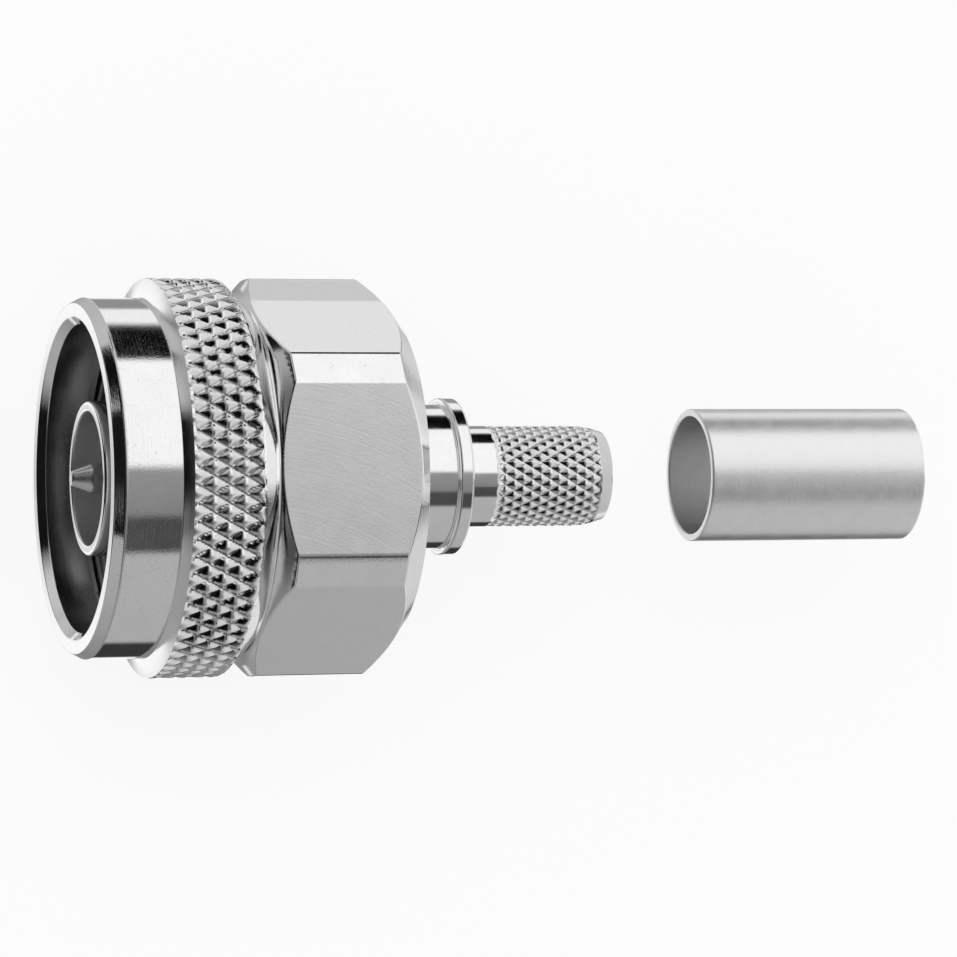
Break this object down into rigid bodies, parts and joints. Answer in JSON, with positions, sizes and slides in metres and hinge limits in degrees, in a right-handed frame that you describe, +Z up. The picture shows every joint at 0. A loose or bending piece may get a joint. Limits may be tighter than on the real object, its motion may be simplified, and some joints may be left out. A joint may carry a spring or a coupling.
{
  "type": "coaxial cable plug",
  "caption": "Threaded coaxial cable plug for 50 ohm radio cable, with a knurled and hexagonal coupling nut, a crimp neck and its loose crimp ferrule.",
  "frame": {"origin": "centre of the outer contact's front face, from which a mating socket is measured", "axes": "+X along the axis towards the cable, -X out of the mating end, +Z up, with a flat of the hexagon facing down"},
  "size_m": [0.047, 0.021, 0.021],
  "materials": {
    "nut_plate": "bright nickel plate on turned and milled brass",
    "body_plate": "bright nickel plate on turned brass",
    "ferrule_plate": "satin nickel plate on annealed copper tube",
    "ring_spring": "bare spring bronze",
    "gasket_rubber": "smooth moulded silicone rubber",
    "insulator_white": "turned white fluoropolymer, waxy",
    "pin_plate": "silver plate on turned brass"
  },
  "bodies": {
    "plug_body": {"outer_contact": "body_plate", "crimp_body": "body_plate", "front_insulator": "insulator_white", "rear_insulator": "insulator_white", "center_pin": "pin_plate", "gasket": "gasket_rubber", "retaining_ring": "ring_spring"},
    "nut": {"coupling_nut": "nut_plate"},
    "ferrule": {"crimp_ferrule": "ferrule_plate"}
  },
  "joints": [
    {"name": "nut_spin", "type": "hinge", "parent": "plug_body", "child": "nut", "pos_m": [0, 0, 0], "axis": [1, 0, 0], "continuous": true},
    {"name": "ferrule_slide", "type": "slide", "parent": "plug_body", "child": "ferrule", "axis": [1, 0, 0], "range_m": [-0.0135, 0]}
  ]
}
